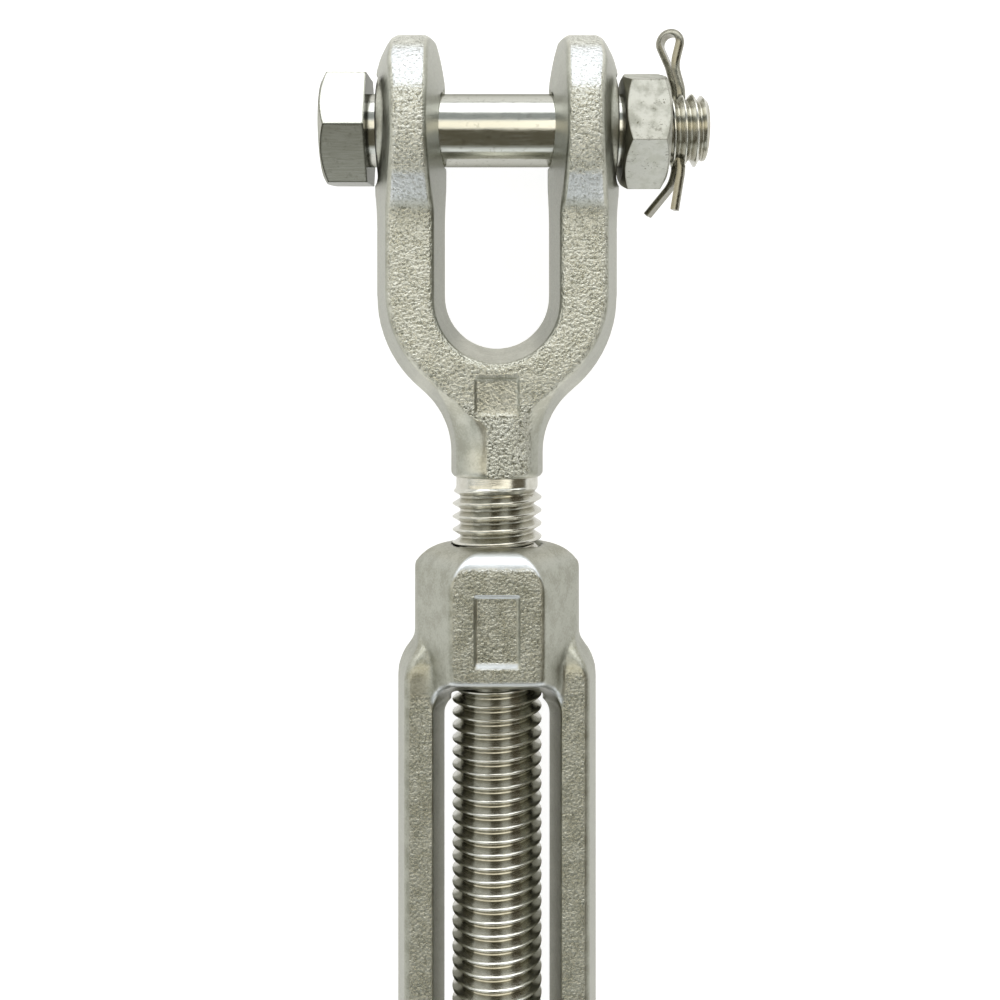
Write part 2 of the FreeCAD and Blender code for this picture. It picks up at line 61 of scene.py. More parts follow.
# Jaws
NECK_FOOT_BELOW_PIN = 61.3 * MM
BLANK_RADIUS = 7.25 * MM
PLAIN_BELOW_NECK = 1.6 * MM
SHANK_TIP_CHAMFER = 1.3 * MM
SHANK_THREAD_FADE = 0.6 * SHANK_PITCH
CUT_BELOW_NECK_FOOT = 0.05 * MM  # where the plain shank is cut off, so that the neck keeps its foot
OVERLAP = 1.0 * MM  # how far a screw's mesh runs into what it grows out of

# The forgings' edges are softened on an even mesh, and then a share of its faces is kept.
# The recesses keep most of their sharpness, and the ends of the window are rounded more.
EVEN_SIZE = 0.3 * MM
SOFTENING_STEPS = 4
SHARE_AT_RECESS = 0.1
WINDOW_END_STEPS = 36
JAW_FACES_KEPT = 0.32
BODY_FACES_KEPT = 0.2
RECESS_HALF_WIDTH = 6 * MM
JAW_RECESS_BELOW_PIN = (42.5 * MM, 52.0 * MM)
BODY_RECESS_BELOW_PIN = (78.8 * MM, 92.3 * MM)
WINDOW_END_BELOW_PIN = (92.4 * MM, 100.5 * MM)
WINDOW_HALF_WIDTH = 13.0 * MM

# Bolts
BOLT_THREAD_INSIDE_NUT = 3.0 * MM
BOLT_TIP_CHAMFER = 1.2 * MM
BOLT_BLANK_BELOW_CREST = 0.4 * MM

# Distances that count as none in meshes
SAME_PLACE = 0.002 * MM
NO_LENGTH = 0.001 * MM
ON_PLANE = 0.0001 * MM

# The photograph: its size and, at the height of the pull line, its scale
PHOTO_PIXELS = 1000
PIXELS_PER_METRE = 5630
EYE_PIXEL = (497, 390)
PULL_LINE_PIXEL_X = 497
PIN_PIXEL_Y = 131
EYE_ABOVE_PULL_LINE = 195 * MM
SENSOR = 36.0


def centre_of(node):
    low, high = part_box(node)
    return (low + high) / 2


PULL_LINE_Z = centre_of("turnbuckle_body").z
PIN_Y = centre_of("upper_bolt").y


# Nodes of materials and of the world

def add(tree, kind, inputs=None, **settings):
    """Adds a shader node. A value in inputs is linked if it is a socket, and else set."""
    made = tree.nodes.new(kind)
    for name, value in settings.items():
        setattr(made, name, value)
    for key, value in (inputs or {}).items():
        if isinstance(value, bpy.types.NodeSocket):
            tree.links.new(value, made.inputs[key])
        else:
            made.inputs[key].default_value = value
    return made


def maths(tree, operation, first, second=0.0):
    return add(tree, "ShaderNodeMath", {0: first, 1: second}, operation=operation).outputs[0]


def times(tree, *values):
    product = values[0]
    for value in values[1:]:
        product = maths(tree, "MULTIPLY", product, value)
    return product


def larger(tree, first, second):
    return maths(tree, "MAXIMUM", first, second)


def absolute(tree, value):
    return maths(tree, "ABSOLUTE", value)


def less(tree, share, amount=1.0):
    """1 where share is 0, and amount less where share is 1."""
    return maths(tree, "SUBTRACT", 1.0, times(tree, share, amount))


def rise(tree, value, low, high, start=0.0, end=1.0):
    """Goes smoothly from start to end as value goes from low to high."""
    inputs = {"Value": value, "From Min": low, "From Max": high, "To Min": start, "To Max": end}
    return add(tree, "ShaderNodeMapRange", inputs, interpolation_type="SMOOTHSTEP").outputs["Result"]


def fall(tree, value, low, high):
    return rise(tree, value, low, high, 1.0, 0.0)


def band(tree, value, low, high, soft):
    """1 where value is from low to high, and 0 from soft outside."""
    return times(tree, rise(tree, value, low - soft, low), fall(tree, value, high, high + soft))


def mix(tree, share, first, second):
    """A colour between first and second."""
    made = add(tree, "ShaderNodeMix", data_type="RGBA")
    for index, value in ((0, share), (6, first), (7, second)):
        if isinstance(value, bpy.types.NodeSocket):
            tree.links.new(value, made.inputs[index])
        else:
            made.inputs[index].default_value = value if index == 0 else (*value, 1.0)
    return made.outputs[2]


def noise(tree, place, scale, detail=2.0, roughness=0.5):
    inputs = {"Vector": place, "Scale": scale, "Detail": detail, "Roughness": roughness}
    return add(tree, "ShaderNodeTexNoise", inputs).outputs["Fac"]


def stretched(tree, place, scale):
    return add(tree, "ShaderNodeMapping", {0: place, "Scale": scale}).outputs[0]


def parts_of(tree, vector):
    """The X, Y and Z of a vector."""
    return add(tree, "ShaderNodeSeparateXYZ", {0: vector}).outputs


def place_of(tree):
    return add(tree, "ShaderNodeTexCoord").outputs["Object"]


def facing_of(tree):
    """The X, Y and Z of the direction that the surface faces."""
    return parts_of(tree, add(tree, "ShaderNodeTexCoord").outputs["Normal"])


def to_own_end(tree, value, where):
    """Turns a value round on the lower half, which is the upper half turned half a turn."""
    return times(tree, value, maths(tree, "SIGN", where["Y"]))


def bump(tree, height, distance):
    return add(tree, "ShaderNodeBump", {"Height": height, "Distance": distance}).outputs["Normal"]


STEEL_IOR = 2.5


def metal(name, base_color, roughness, edge_tint=(1.0, 1.0, 1.0)):
    """A metal material and its shader node. Values that stay the same are set on the shader."""
    material = bpy.data.materials.new(name)
    material.use_nodes = True
    tree = material.node_tree
    shader = tree.nodes["Principled BSDF"]
    shader.inputs["Base Color"].default_value = (*base_color, 1.0)
    shader.inputs["Metallic"].default_value = 1.0
    shader.inputs["Roughness"].default_value = roughness
    shader.inputs["IOR"].default_value = STEEL_IOR
    shader.inputs["Specular Tint"].default_value = (*edge_tint, 1.0)
    return material, tree, shader


# Forged steel

# The jaw and the body: the colours of their grained faces and the grain's fineness and height
JAW_FACE_COLOR = (0.61, 0.605, 0.53)
JAW_FACE_SHADE = (0.46, 0.455, 0.38)
JAW_GRAIN_SCALE = 1900
BODY_FACE_COLOR = (0.44, 0.435, 0.37)
BODY_FACE_SHADE = (0.30, 0.295, 0.235)
BODY_GRAIN_SCALE = 2000
GRAIN_HEIGHT = 0.5 * MM

# Both. The sides that face across get a darker colour, which is painted shade
SHADED_SIDE_COLOR = (0.41, 0.415, 0.36)
SHADED_SIDE_DARK_TONE = (0.30, 0.30, 0.25)
PIT_COLOR = (0.22, 0.215, 0.165)
# A painted highlight: a pale bluish colour on places where the light falls brightest
PAINTED_HIGHLIGHT_COLOR = (0.70, 0.72, 0.725)
FORGED_ROUGHNESS = (0.30, 0.42)
SMOOTHER_ON_GRAIN = 0.07
CLOUD_SCALE = 330
FLECK_SCALE = 2600
SATIN_SCALE = 4200
SATIN_HEIGHT = 0.03 * MM


def forged(name, face_color, face_shade, grain_scale, shares):
    """Satin forged steel, with grain, and painted highlights in bright places where shares says."""
    material, tree, shader = metal(name, face_color, 0.34)
    place = place_of(tree)
    facing = facing_of(tree)
    grained, painted_highlight = shares(tree, parts_of(tree, place), facing)
    grain = noise(tree, place, grain_scale, 2.0, 0.5)
    satin = noise(tree, place, SATIN_SCALE, 2.0, 0.6)
    grain_relief = times(tree, maths(tree, "SUBTRACT", grain, 0.5), grained, GRAIN_HEIGHT)
    relief = maths(tree, "ADD", grain_relief, times(tree, satin, SATIN_HEIGHT))
    tree.links.new(bump(tree, relief, 1.0), shader.inputs["Normal"])
    cloud = noise(tree, place, CLOUD_SCALE, 3.0, 0.6)
    fleck = noise(tree, place, FLECK_SCALE, 2.0, 0.7)
    blotch = maths(tree, "ADD", times(tree, cloud, 0.6), times(tree, fleck, 0.4))
    shade = rise(tree, blotch, 0.38, 0.62)
    # Painted shade: the sides that face across get a darker colour than the faces
    side = mix(tree, shade, SHADED_SIDE_DARK_TONE, SHADED_SIDE_COLOR)
    # The painted highlight lightens the faces where shares puts it
    face = mix(tree, painted_highlight, mix(tree, shade, face_shade, face_color), PAINTED_HIGHLIGHT_COLOR)
    tint = mix(tree, fall(tree, absolute(tree, facing["X"]), 0.5, 0.8), side, face)
    pits = times(tree, rise(tree, grain, 0.30, 0.47, 0.8, 0.0), grained)
    tree.links.new(mix(tree, pits, tint, PIT_COLOR), shader.inputs["Base Color"])
    roughness = maths(tree, "SUBTRACT", rise(tree, cloud, 0.25, 0.75, *FORGED_ROUGHNESS),
                      times(tree, grained, SMOOTHER_ON_GRAIN))
    tree.links.new(roughness, shader.inputs["Roughness"])
    return material


# Places on a jaw, counted from its bolt towards its own end, each from where a change starts to
# where it is complete
EAR_FROM = (-16 * MM, -13.5 * MM)
SMOOTH_TOP = (4.6 * MM, 10.2 * MM)
SMOOTH_TOP_SOFT = 2.2 * MM
SMOOTH_FOOT_TO = (-10.9 * MM, -9.7 * MM)
NECK_TO = (-48.6 * MM, -48.1 * MM)
RECESS_ALONG = (-50.3 * MM, -43.6 * MM)
# The grain on the neck starts past a slanted line, which runs along so far between these sides
SLANT = (-52.5 * MM, -48.2 * MM)
SLANT_SIDES = (-1.7 * MM, -7.6 * MM)
# Places across a jaw
RECESS_ACROSS = (-3.7 * MM, 3.7 * MM)
SPOT_FACE_FROM = (18.7 * MM, 19.2 * MM)
CRISP = 0.3 * MM
LESS_ON_SMOOTH_RIM = 0.42
LESS_IN_RECESS = 0.6
MORE_ON_NECK = 0.8
# How much painted highlight the ears' rims get, and more on their smooth parts
HIGHLIGHT_ON_RIM = 0.12
HIGHLIGHT_ON_SMOOTH_RIM = 0.85


def jaw_shares(tree, where, facing):
    """The jaw's grain, none on one side of its neck, and a painted highlight on the ears' rims, mostly on
    their smooth parts.
    """
    upward = absolute(tree, facing["Z"])
    past_pin = maths(tree, "SUBTRACT", absolute(tree, where["Y"]), PIN_Y)
    on_ear = times(tree, rise(tree, past_pin, *EAR_FROM), fall(tree, absolute(tree, facing["X"]), 0.36, 0.6))
    on_rim = times(tree, on_ear, rise(tree, upward, 0.1, 0.4))
    smooth_ends = maths(tree, "ADD", band(tree, past_pin, *SMOOTH_TOP, SMOOTH_TOP_SOFT),
                        fall(tree, past_pin, *SMOOTH_FOOT_TO))
    smooth_rim = times(tree, smooth_ends, on_ear)
    slant = rise(tree, past_pin, *SLANT, *SLANT_SIDES)
    past_slant = maths(tree, "SUBTRACT", to_own_end(tree, where["X"], where), slant)
    above_neck = rise(tree, past_pin, *NECK_TO)
    on_face = times(tree, rise(tree, upward, 0.66, 0.86),
                    larger(tree, rise(tree, past_slant, -CRISP, CRISP), above_neck))
    in_recess = times(tree, band(tree, past_pin, *RECESS_ALONG, CRISP),
                         band(tree, where["X"], *RECESS_ACROSS, CRISP))
    deeper = maths(tree, "ADD", times(tree, less(tree, above_neck), MORE_ON_NECK), 1.0)
    grained = times(tree, larger(tree, on_face, on_rim), less(tree, smooth_rim, LESS_ON_SMOOTH_RIM),
                    less(tree, in_recess, LESS_IN_RECESS),
                    fall(tree, absolute(tree, where["X"]), *SPOT_FACE_FROM), deeper)
    painted_highlight = times(tree, on_rim, maths(tree, "ADD", times(tree, smooth_rim, HIGHLIGHT_ON_SMOOTH_RIM), HIGHLIGHT_ON_RIM))
    return grained, painted_highlight


# Places on the body, from the middle towards each end
WINDOW_EDGE_FROM = (71 * MM, 73 * MM)
BOSS_EDGE_FROM = (90 * MM, 92 * MM)
ONE_RAIL_TO = (75.5 * MM, 79 * MM)
OTHER_RAIL_TO = (80 * MM, 83 * MM)
# Places across the body
RECESS_EDGE_TO = (7 * MM, 8 * MM)
BOSS_FLAT_TO = (8 * MM, 9 * MM)


def body_shares(tree, where, facing):
    """The body's grain on its flats, and a painted highlight on edges at its bosses, recess and window."""
    upward = absolute(tree, facing["Z"])
    endward = to_own_end(tree, facing["Y"], where)
    from_middle = absolute(tree, where["Y"])
    off_middle = absolute(tree, where["X"])
    # A painted highlight on the edges at the ends of the window, the bosses and the recess, where they face
    # partly up
    window_edge = times(tree, fall(tree, endward, -0.42, -0.12), rise(tree, from_middle, *WINDOW_EDGE_FROM))
    boss_or_recess = larger(tree, rise(tree, from_middle, *BOSS_EDGE_FROM),
                            fall(tree, off_middle, *RECESS_EDGE_TO))
    end_edge = times(tree, rise(tree, endward, 0.12, 0.42), boss_or_recess)
    painted_highlight = times(tree, larger(tree, window_edge, end_edge), rise(tree, upward, 0.3, 0.6))
    on_other_rail = times(tree, fall(tree, from_middle, *OTHER_RAIL_TO),
                          rise(tree, to_own_end(tree, where["X"], where), 0.0, MM))
    on_rail = larger(tree, fall(tree, from_middle, *ONE_RAIL_TO), on_other_rail)
    on_flat = larger(tree, fall(tree, off_middle, *BOSS_FLAT_TO), on_rail)
    return times(tree, rise(tree, upward, 0.94, 0.985), on_flat), painted_highlight


# Turned and rolled steel

def edge_shade_line(tree, radius):
    """1 on a sharp edge and 0 from about radius away from it; it places painted shade along edges."""
    rounded = add(tree, "ShaderNodeBevel", {"Radius": radius}, samples=6).outputs["Normal"]
    flat = add(tree, "ShaderNodeNewGeometry").outputs["Normal"]
    alike = add(tree, "ShaderNodeVectorMath", {0: rounded, 1: flat}, operation="DOT_PRODUCT")
    return fall(tree, alike.outputs["Value"], 0.965, 0.998)


def faces_ear(tree):
    """1 on the side of a head or nut that is turned to the ear, where painted shade goes."""
    where = parts_of(tree, place_of(tree))
    outward = times(tree, facing_of(tree)["X"], maths(tree, "SIGN", where["X"]))
    return fall(tree, outward, -0.6, -0.35)


def thread_radius(tree, along_bolt):
    """The distance from the screw's own axis: a jaw bolt's, or else the line of pull."""
    where = parts_of(tree, place_of(tree))
    high = maths(tree, "SUBTRACT", where["Z"], PULL_LINE_Z)
    wide = maths(tree, "SUBTRACT", absolute(tree, where["Y"]), PIN_Y) if along_bolt else where["X"]
    square = maths(tree, "ADD", times(tree, high, high), times(tree, wide, wide))
    return maths(tree, "SQRT", square)


SCREW_COLOR = (0.61, 0.60, 0.545)
# Painted shade in the thread's roots
SCREW_ROOT_SHADE_COLOR = (0.41, 0.395, 0.33)
SHANK_ROOT_TO_CREST = (6.4 * MM, 7.6 * MM)
BOLT_ROOT_TO_CREST = (5.1 * MM, 6.1 * MM)
ROLLING_STRETCH = 9.0


def screw_steel(name, along_bolt, root_to_crest):
    """Rolled thread with painted shade in its roots and faint lines round it."""
    material, tree, shader = metal(name, SCREW_COLOR, 0.16)
    place = place_of(tree)
    stretch = (ROLLING_STRETCH, 1.0, 1.0) if along_bolt else (1.0, ROLLING_STRETCH, 1.0)
    streak = noise(tree, stretched(tree, place, stretch), 900, 2.0, 0.6)
    # Painted shade towards the thread's roots, with random patches
    out_of_root_shade = rise(tree, thread_radius(tree, along_bolt), *root_to_crest)
    patch = rise(tree, noise(tree, place, 700, 3.0, 0.6), 0.3, 0.7, -0.2, 0.2)
    tree.links.new(mix(tree, maths(tree, "ADD", out_of_root_shade, patch), SCREW_ROOT_SHADE_COLOR, SCREW_COLOR),
                   shader.inputs["Base Color"])
    tree.links.new(rise(tree, streak, 0.3, 0.7, 0.14, 0.25), shader.inputs["Roughness"])
    tree.links.new(bump(tree, streak, 0.012 * MM), shader.inputs["Normal"])
    return material


POLISHED_COLOR = (0.60, 0.60, 0.55)
POLISHED_EDGE_TINT = (0.4, 0.4, 0.37)
DULL_MARK_COLOR = (0.36, 0.35, 0.3)
# Painted shade, dark along edges and on the side turned to the ear
PAINTED_SHADE_COLOR = (0.10, 0.10, 0.075)


def polished_steel():
    """Bright bolt steel with fine lengthways scratches, a few dull marks, and painted shade along its edges
    and on the side turned to the ear.
    """
    material, tree, shader = metal("polished_steel", POLISHED_COLOR, 0.1, POLISHED_EDGE_TINT)
    place = place_of(tree)
    streak = noise(tree, stretched(tree, place, (0.12, 1.0, 1.0)), 2600, 3.0, 0.65)
    mark = rise(tree, noise(tree, place, 900, 4.0, 0.7), 0.56, 0.66)
    marked = mix(tree, times(tree, mark, 0.35), POLISHED_COLOR, DULL_MARK_COLOR)
    # Painted shade along sharp edges and on the side turned to the ear
    dark = larger(tree, edge_shade_line(tree, 0.65 * MM), times(tree, faces_ear(tree), 0.85))
    tree.links.new(mix(tree, dark, marked, PAINTED_SHADE_COLOR), shader.inputs["Base Color"])
    tree.links.new(rise(tree, streak, 0.3, 0.7, 0.09, 0.2), shader.inputs["Roughness"])
    tree.links.new(bump(tree, streak, 0.004 * MM), shader.inputs["Normal"])
    return material


NUT_COLOR = (0.66, 0.66, 0.61)
NUT_SHADE = (0.50, 0.50, 0.44)
NUT_EDGE_TINT = (0.6, 0.6, 0.56)
# Dark specks and smears, and painted shade on edges and the side turned to the ear
SPECK_AND_SHADE_COLOR = (0.17, 0.16, 0.12)


def nut_steel():
    """Dull nut steel with cloudy patches, smears, small dark specks, and painted shade along its edges and
    on the side turned to the ear.
    """
    material, tree, shader = metal("nut_steel", NUT_COLOR, 0.38, NUT_EDGE_TINT)
    place = place_of(tree)
    cloud = noise(tree, place, 420, 4.0, 0.62)
    speck = rise(tree, noise(tree, place, 2300, 2.0, 0.7), 0.59, 0.68)
    patch = rise(tree, noise(tree, place, 230, 3.0), 0.47, 0.6)
    smears = noise(tree, stretched(tree, place, (1.0, 1.0, 3.0)), 420, 4.0, 0.7)
    marks = larger(tree, times(tree, speck, patch), rise(tree, smears, 0.58, 0.7, 0.0, 0.55))
    # Painted shade along sharp edges and on the side turned to the ear
    dark = larger(tree, edge_shade_line(tree, 0.35 * MM), faces_ear(tree))
    tint = mix(tree, rise(tree, cloud, 0.35, 0.62), NUT_SHADE, NUT_COLOR)
    tree.links.new(mix(tree, larger(tree, marks, times(tree, dark, 0.75)), tint, SPECK_AND_SHADE_COLOR),
                   shader.inputs["Base Color"])
    tree.links.new(rise(tree, cloud, 0.3, 0.7, 0.36, 0.52), shader.inputs["Roughness"])
    tree.links.new(bump(tree, cloud, 0.05 * MM), shader.inputs["Normal"])
    return material


WIRE_COLOR = (0.29, 0.28, 0.23)
WIRE_SHADE = (0.23, 0.22, 0.175)


def wire_steel():
    """Drawn cotter wire."""
    material, tree, shader = metal("wire_steel", WIRE_COLOR, 0.22)
    cloud = noise(tree, place_of(tree), 1400, 3.0, 0.6)
    tree.links.new(mix(tree, rise(tree, cloud, 0.35, 0.65), WIRE_SHADE, WIRE_COLOR),
                   shader.inputs["Base Color"])
    tree.links.new(rise(tree, cloud, 0.3, 0.7, 0.18, 0.32), shader.inputs["Roughness"])
    tree.links.new(bump(tree, cloud, 0.015 * MM), shader.inputs["Normal"])
    return material


# Meshes

def thread_mesh(radius, pitch, length, blank, tip_chamfer, right_handed, fade_from, fade_over):
    """A closed screw along +Z from z = 0 to its chamfered tip at z = length.

    Up to fade_from it is a plain rod of radius blank, and over fade_over the thread grows in.
    The surface is one strip of THREAD_PROFILE wound round and round, so no edge crosses it.
    """
    depth = pitch * THREAD_DEPTH_SHARE
    count = len(THREAD_PROFILE)
    turns = math.ceil(length / pitch) + 1
    made = bmesh.new()
    columns = []
    for step in range(THREAD_STEPS):
        share = step / THREAD_STEPS
        angle = 2 * math.pi * share * (1 if right_handed else -1)
        column = []
        for row in range(-count, turns * count + 1):
            along, down = THREAD_PROFILE[row % count]
            z = pitch * (row // count + along + share)
            grown = min(max((z - fade_from) / fade_over, 0.0), 1.0)
            r = blank + (radius - depth * down - blank) * grown
            r = min(r, radius - tip_chamfer + (length - z)) if z > length - 2 * tip_chamfer else r
            z = min(max(z, 0.0), length)
            r = radius - tip_chamfer if z == length else r
            column.append(made.verts.new((r * math.cos(angle), r * math.sin(angle), z)))
        columns.append(column)
    for step in range(THREAD_STEPS):
        here = columns[step]
        wraps = step == THREAD_STEPS - 1
        following = columns[(step + 1) % THREAD_STEPS]
        lift = count if wraps else 0
        for row in range(len(here) - 1 - lift):
            corners = (here[row], following[row + lift], following[row + lift + 1], here[row + 1])
            made.faces.new(corners if right_handed else corners[::-1])
    bmesh.ops.remove_doubles(made, verts=made.verts, dist=SAME_PLACE)
    bmesh.ops.dissolve_degenerate(made, edges=made.edges, dist=NO_LENGTH)
    bmesh.ops.holes_fill(made, edges=made.edges, sides=0)
    bmesh.ops.recalc_face_normals(made, faces=made.faces)
    return made


def piece(name, made, material, body, slot, *replaced):
    """Makes a shown piece from a bmesh, smooth apart from its sharp edges."""
    mesh = bpy.data.meshes.new(name)
    made.to_mesh(mesh)
    made.free()
    if "custom_normal" in mesh.attributes:
        mesh.attributes.remove(mesh.attributes["custom_normal"])
    mesh.shade_smooth()
    mesh.set_sharp_from_angle(angle=math.radians(SHARP_DEGREES))
    mesh.materials.append(material)
    shown = bpy.data.objects.new(name, mesh)
    bpy.context.scene.collection.objects.link(shown)
    if replaced:
        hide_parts(*replaced)
    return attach(shown, body)


def copied(node):
    """A CAD node's mesh as a new bmesh, its seams closed."""
    made = bmesh.new()
    made.from_mesh(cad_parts[node].data)
    bmesh.ops.remove_doubles(made, verts=made.verts, dist=SAME_PLACE)
    return made


def cut_off(made, point, outward):
    """Removes what lies beyond the plane through point and closes the cut."""
    geometry = made.verts[:] + made.edges[:] + made.faces[:]
    cut = bmesh.ops.bisect_plane(made, geom=geometry, plane_co=point, plane_no=outward,
                                 clear_outer=True, dist=ON_PLANE)
    rim = [item for item in cut["geom_cut"] if isinstance(item, bmesh.types.BMEdge)]
    bmesh.ops.holes_fill(made, edges=rim, sides=0)


def with_modifiers(made, name, add_modifiers):
    """The bmesh as it is after the modifiers that add_modifiers puts on an object made from it."""
    mesh = bpy.data.meshes.new(name)
    made.to_mesh(mesh)
    made.free()
    holder = bpy.data.objects.new(name, mesh)
    bpy.context.scene.collection.objects.link(holder)
    add_modifiers(holder)
    result = bmesh.new()
    result.from_mesh(holder.evaluated_get(bpy.context.evaluated_depsgraph_get()).data)
    bpy.data.objects.remove(holder)
    return result


def even(holder):
    remesh = holder.modifiers.new("even", "REMESH")
    remesh.mode = "VOXEL"
    remesh.voxel_size = EVEN_SIZE


def within(place, low, high, half_width):
    """Whether a point is from low to high below the bolts, and no further than half_width across."""
    return low < PIN_Y - abs(place.y) < high and abs(place.x) < half_width


def softened(made, name, kept, recess_below_pin, with_window):
    """The same solid with a finer mesh and softer edges."""
    made = with_modifiers(made, name + "_even", even)
    for vert in made.verts:
        vert.tag = within(vert.co, *recess_below_pin, RECESS_HALF_WIDTH)
    sharp = [vert for vert in made.verts if vert.tag]
    soft = [vert for vert in made.verts if not vert.tag]
    ends = []
    if with_window:
        ends = [vert for vert in soft if within(vert.co, *WINDOW_END_BELOW_PIN, WINDOW_HALF_WIDTH)]
    for verts, factor, steps in ((sharp, 0.5 * SHARE_AT_RECESS, SOFTENING_STEPS),
                                 (soft, 0.5, SOFTENING_STEPS), (ends, 0.5, WINDOW_END_STEPS)):
        for _ in range(steps):
            bmesh.ops.smooth_vert(made, verts=verts, factor=factor, use_axis_x=True, use_axis_y=True,
                                  use_axis_z=True)

    def fewer(holder):
        holder.modifiers.new("fewer", "DECIMATE").ratio = kept

    return with_modifiers(made, name + "_fewer", fewer)


def add_thread(made, thread, place):
    """Moves a screw to its place and adds it to a piece's bmesh, in the piece's second material."""
    bmesh.ops.transform(thread, matrix=place, verts=thread.verts)
    for face in thread.faces:
        face.material_index = 1
    mesh = bpy.data.meshes.new("thread")
    thread.to_mesh(mesh)
    thread.free()
    made.from_mesh(mesh)
    bpy.data.meshes.remove(mesh)


def shank_radius(node, tip):
    """The shank's radius, read from the CAD node's vertices near its tip."""
    near = [v.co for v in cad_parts[node].data.vertices if abs(v.co.y - tip) < 3 * MM]
    return max(math.hypot(co.x, co.z - PULL_LINE_Z) for co in near)


def jaw(side, sign, forging_steel, thread_steel):
    """The jaw of one side (sign is +1 above and -1 below), with its screw."""
    node = side + "_jaw"
    foot = sign * (PIN_Y - NECK_FOOT_BELOW_PIN)
    made = copied(node)
    cut_off(made, Vector((0, foot - sign * CUT_BELOW_NECK_FOOT, 0)), Vector((0, -sign, 0)))
    made = softened(made, node, JAW_FACES_KEPT, JAW_RECESS_BELOW_PIN, False)
    low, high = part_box(node)
    tip = low.y if sign > 0 else high.y
    start = foot + sign * OVERLAP
    right_handed = sign > 0
    thread = thread_mesh(shank_radius(node, tip), SHANK_PITCH, abs(start - tip), BLANK_RADIUS,
                         SHANK_TIP_CHAMFER, right_handed, OVERLAP + PLAIN_BELOW_NECK, SHANK_THREAD_FADE)
    turn = Matrix.Rotation(math.radians(90 * sign), 4, "X")
    add_thread(made, thread, Matrix.Translation((0, start, PULL_LINE_Z)) @ turn)
    shown = piece(node + "_forging", made, forging_steel, node, "forged_jaw", node)
    shown.data.materials.append(thread_steel)


def body(forging_steel):
    node = "turnbuckle_body"
    made = softened(copied(node), node, BODY_FACES_KEPT, BODY_RECESS_BELOW_PIN, True)
    piece(node + "_forging", made, forging_steel, node, "forged_body", node)


def bolt_radius(node, sign, tip):
    """The bolt's radius, read from the CAD node's vertices on its threaded side."""
    threaded = [v.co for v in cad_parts[node].data.vertices if 0 < v.co.x * sign < abs(tip)]
    return max(math.hypot(co.y - sign * PIN_Y, co.z - PULL_LINE_Z) for co in threaded)


def bolt(side, sign, steel, thread_steel):
    """One jaw bolt: its head and plain shank from the CAD node, and a thread from the nut outwards."""
    node = side + "_bolt"
    low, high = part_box(node)
    tip = high.x if sign > 0 else low.x
    nut_low, nut_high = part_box(side + "_nut")
    bearing = nut_low.x if sign > 0 else nut_high.x
    join = bearing + sign * BOLT_THREAD_INSIDE_NUT
    made = copied(node)
    cut_off(made, Vector((join, 0, 0)), Vector((sign, 0, 0)))
    start = join - sign * OVERLAP
    radius = bolt_radius(node, sign, tip)
    thread = thread_mesh(radius, BOLT_PITCH, abs(tip - start), radius - BOLT_BLANK_BELOW_CREST,
                         BOLT_TIP_CHAMFER, True, OVERLAP, BOLT_PITCH)
    turn = Matrix.Rotation(math.radians(90 * sign), 4, "Y")
    add_thread(made, thread, Matrix.Translation((start, sign * PIN_Y, PULL_LINE_Z)) @ turn)
    shown = piece(node + "_turned", made, steel, side + "_bolt_set", "bolt", node)
    shown.data.materials.append(thread_steel)


def dress(node, material):
    """Gives a CAD node that stays its material."""
    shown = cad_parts[node]
    shown.data.materials.clear()
    shown.data.materials.append(material)


# Camera, light and floor

def camera():
    focal_pixels = PIXELS_PER_METRE * EYE_ABOVE_PULL_LINE
    data = bpy.data.cameras.new("photo_camera")
    data.sensor_width = SENSOR
    data.lens = focal_pixels / PHOTO_PIXELS * SENSOR
    data.shift_x = (PHOTO_PIXELS / 2 - EYE_PIXEL[0]) / PHOTO_PIXELS
    data.shift_y = (EYE_PIXEL[1] - PHOTO_PIXELS / 2) / PHOTO_PIXELS
    data.clip_start = 5 * MM
    eye = bpy.data.objects.new("photo_camera", data)
    bpy.context.scene.collection.objects.link(eye)
    eye.location = ((EYE_PIXEL[0] - PULL_LINE_PIXEL_X) / PIXELS_PER_METRE,
                    PIN_Y - (EYE_PIXEL[1] - PIN_PIXEL_Y) / PIXELS_PER_METRE,
                    PULL_LINE_Z + EYE_ABOVE_PULL_LINE)
    bpy.context.scene.camera = eye


FLOOR_HALF_SIZE = 3.0
FLOOR_COLOR = (0.5, 0.5, 0.5)
FLOOR_GLOW = 0.8
GLOW_OFF_METAL = 0.82


def background_share(tree):
    """1 for rays from the camera, and a little less off metal or through glass."""
    path = add(tree, "ShaderNodeLightPath").outputs
    off_metal = larger(tree, path["Is Glossy Ray"], path["Is Transmission Ray"])
    return larger(tree, path["Is Camera Ray"], times(tree, off_metal, GLOW_OFF_METAL))


def floor():
    """A large floor that looks white and keeps a faint shadow."""
    made = bmesh.new()
    bmesh.ops.create_grid(made, x_segments=1, y_segments=1, size=FLOOR_HALF_SIZE)
    mesh = bpy.data.meshes.new("floor")
    made.to_mesh(mesh)
    made.free()
    material = bpy.data.materials.new("floor")
    material.use_nodes = True
    tree = material.node_tree
    shader = tree.nodes["Principled BSDF"]
    shader.inputs["Base Color"].default_value = (*FLOOR_COLOR, 1.0)
    shader.inputs["Roughness"].default_value = 1.0
    shader.inputs["Specular IOR Level"].default_value = 0.0
    shader.inputs["Emission Color"].default_value = (1.0, 1.0, 1.0, 1.0)
    tree.links.new(times(tree, background_share(tree), FLOOR_GLOW), shader.inputs["Emission Strength"])
    mesh.materials.append(material)
    shown = bpy.data.objects.new("floor", mesh)
    bpy.context.scene.collection.objects.link(shown)


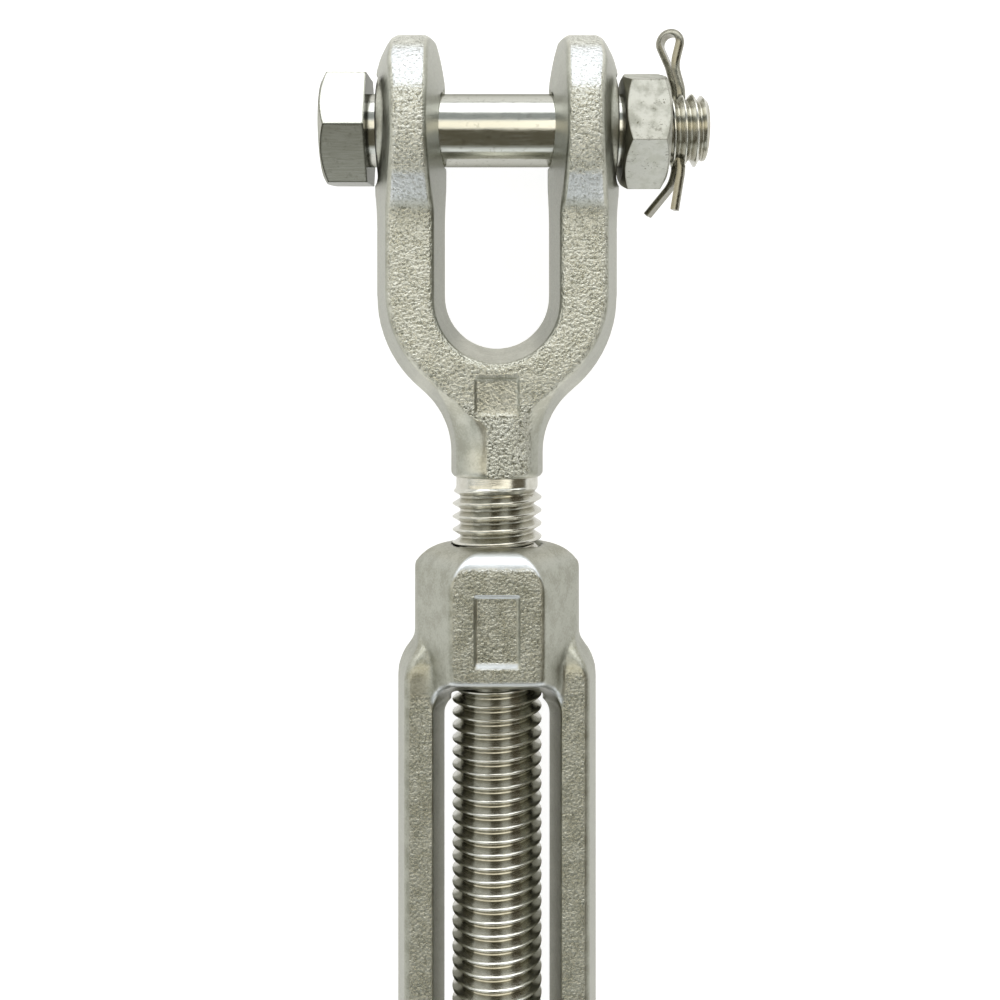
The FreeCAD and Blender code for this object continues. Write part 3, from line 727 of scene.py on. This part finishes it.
# The light tent, as patches laid over each other: each from and to an angle towards +Y and an
# angle towards +X, both from straight up, with the softness of its edge in degrees and its colour
TENT_COLOR = (0.86, 0.89, 0.9)
TENT_PATCHES = [
    ((-2, 17), (-180, 180), 6, (1.62, 1.53, 1.30)),       # warm ceiling
    ((-8, 20), (4, 40), 4, (1.95, 1.87, 1.64)),           # its brighter right half
    ((27, 44), (-180, 180), 5, (0.42, 0.45, 0.45)),       # seam before the strip
    ((90, 276), (-180, 180), 6, (0.50, 0.51, 0.50)),      # below the horizon, past the upper end
    ((-105, -74), (-180, 180), 4, (1.06, 1.1, 1.1)),      # front wall
    ((-62, -56), (-180, 180), 8, (0.36, 0.37, 0.33)),     # its dark upper edge
    ((-60, 24), (44, 86), 7, (0.17, 0.15, 0.11)),         # brown card on the right
    ((-56, -9), (-18, 10), 7, (0.13, 0.12, 0.085)),       # the camera and its stand
    ((52, 82), (-70, 70), 5, (2.6, 2.65, 2.7)),           # strip lamp past the head
]


def studio():
    """A pale light tent with a strip lamp past the upper end and dark gaps by the camera."""
    world = bpy.data.worlds.new("studio")
    bpy.context.scene.world = world
    world.use_nodes = True
    tree = world.node_tree
    direction = parts_of(tree, add(tree, "ShaderNodeTexCoord").outputs["Generated"])
    to_degrees = 180 / math.pi
    across = times(tree, maths(tree, "ARCTAN2", direction["X"], direction["Z"]), to_degrees)
    along = times(tree, maths(tree, "ARCTAN2", direction["Y"], direction["Z"]), to_degrees)
    sky = TENT_COLOR
    for along_range, across_range, soft, color in TENT_PATCHES:
        share = times(tree, band(tree, along, *along_range, soft), band(tree, across, *across_range, soft))
        sky = mix(tree, share, sky, color)
    to_camera = add(tree, "ShaderNodeLightPath").outputs["Is Camera Ray"]
    sky = mix(tree, to_camera, sky, (1.0, 1.0, 1.0))
    background = tree.nodes["Background"]
    tree.links.new(sky, background.inputs["Color"])
    background.inputs["Strength"].default_value = 1.0


bpy.context.scene.view_settings.view_transform = "Standard"
camera()
studio()
floor()

forged_jaw = forged("forged_jaw", JAW_FACE_COLOR, JAW_FACE_SHADE, JAW_GRAIN_SCALE, jaw_shares)
forged_body = forged("forged_body", BODY_FACE_COLOR, BODY_FACE_SHADE, BODY_GRAIN_SCALE, body_shares)
screw = screw_steel("screw_steel", False, SHANK_ROOT_TO_CREST)
bolt_screw = screw_steel("bolt_screw_steel", True, BOLT_ROOT_TO_CREST)
polished = polished_steel()
nut = nut_steel()
cotter = wire_steel()

body(forged_body)
for side, sign in (("upper", 1), ("lower", -1)):
    jaw(side, sign, forged_jaw, screw)
    bolt(side, sign, polished, bolt_screw)
    dress(side + "_nut", nut)
    dress(side + "_cotter_pin", cotter)
